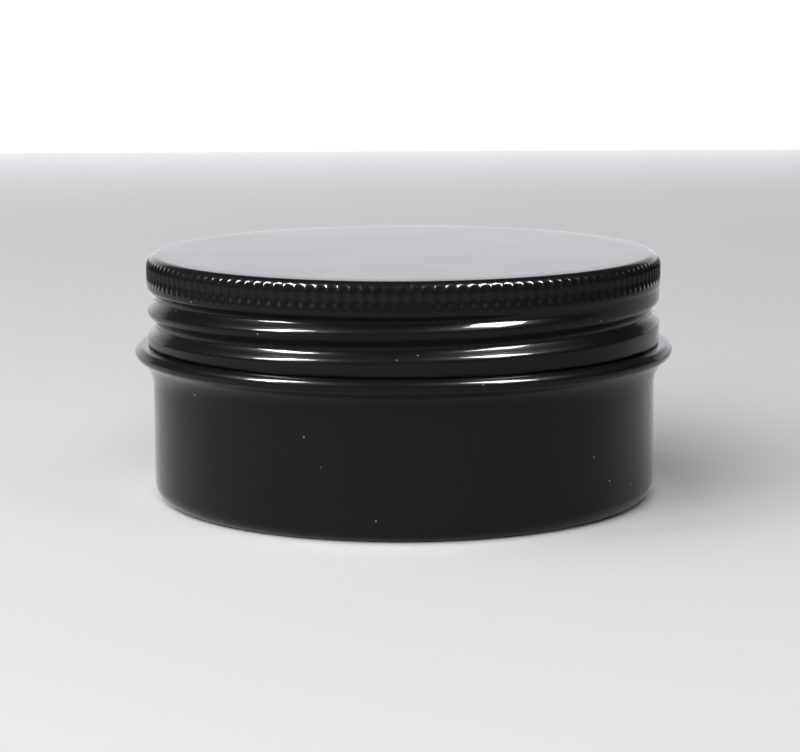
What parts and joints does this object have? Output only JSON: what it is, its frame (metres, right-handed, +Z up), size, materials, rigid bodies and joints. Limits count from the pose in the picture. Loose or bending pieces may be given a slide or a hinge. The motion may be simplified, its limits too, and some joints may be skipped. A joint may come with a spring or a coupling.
{
  "type": "candle tin",
  "caption": "Round screw-top candle tin: drawn aluminium cup with a rolled bead, knurled lid with a rolled thread and a foam liner.",
  "frame": {"origin": "centre of the standing ring, on the plane the tin stands on", "axes": "+Z up along the tin's axis; the thread's heights are given at -Y, the front"},
  "size_m": [0.084, 0.084, 0.0384],
  "materials": {
    "cup": "gloss",
    "lid": "gloss",
    "liner": "matt"
  },
  "bodies": {
    "base": {"base_cup": "cup"},
    "liner": {"foam_liner": "liner"},
    "lid": {"screw_lid": "lid"}
  },
  "joints": [
    {"name": "lid_lift", "type": "slide", "parent": "base", "child": "liner", "axis": [0, 0, 1], "range_m": [0, 0.018]},
    {"name": "lid_turn", "type": "hinge", "parent": "liner", "child": "lid", "pos_m": [0, 0, 0], "axis": [0, 0, 1], "range_deg": [0, 1440]}
  ],
  "couplings": [
    {"joint": "lid_lift", "follows": "lid_turn", "m_per_rad": 0.00066845}
  ]
}
